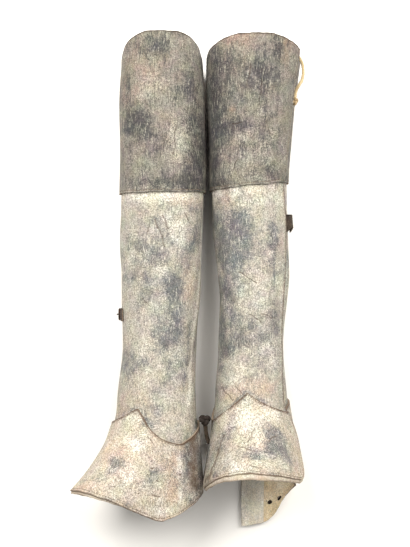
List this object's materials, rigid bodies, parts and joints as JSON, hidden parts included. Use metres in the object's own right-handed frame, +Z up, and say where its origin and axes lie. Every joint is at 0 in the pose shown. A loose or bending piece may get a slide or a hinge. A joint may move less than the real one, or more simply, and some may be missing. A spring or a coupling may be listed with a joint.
{
  "type": "pair of tall leather spats",
  "caption": "Pair of stiff over-the-knee leather spats lying on their backs, each with a knee piece, a leg panel and a flared foot piece, open at both ends.",
  "frame": {"origin": "middle of the pair's bounding box, on the surface it lies on", "axes": "+Y runs up the legs to the knee edges, +Z up from the surface, +X towards the spat whose foot points up"},
  "size_m": [0.3453, 0.7432, 0.1944],
  "materials": {
    "knee_leather": "worn waxed leather, blackened and mottled",
    "leg_leather": "worn waxed leather, chalky grey-brown",
    "foot_leather": "bleached and stained leather",
    "welt_leather": "pale cut edge",
    "heel_leather": "tan flesh side",
    "stay_leather": "whitened leather",
    "strap_leather": "dark brown strap leather",
    "twine": "twisted hemp twine",
    "iron": "rusted iron wire"
  },
  "bodies": {
    "root": {"knee_piece_left": "knee_leather", "knee_piece_right": "knee_leather", "leg_panel_left": "leg_leather", "leg_panel_right": "leg_leather", "foot_piece_left": "foot_leather", "foot_piece_right": "foot_leather", "hem_welt_left": "welt_leather", "hem_welt_right": "welt_leather", "heel_quarter_right": "heel_leather", "heel_stay_right": "stay_leather", "strap_keeper_right": "strap_leather", "buckle_tab_left": "strap_leather", "ankle_strap_stub_left": "strap_leather", "buckle_frame_left": "iron", "buckle_tongue_left": "iron", "knee_twine_right": "twine", "twine_knot_right": "twine"}
  },
  "joints": []
}
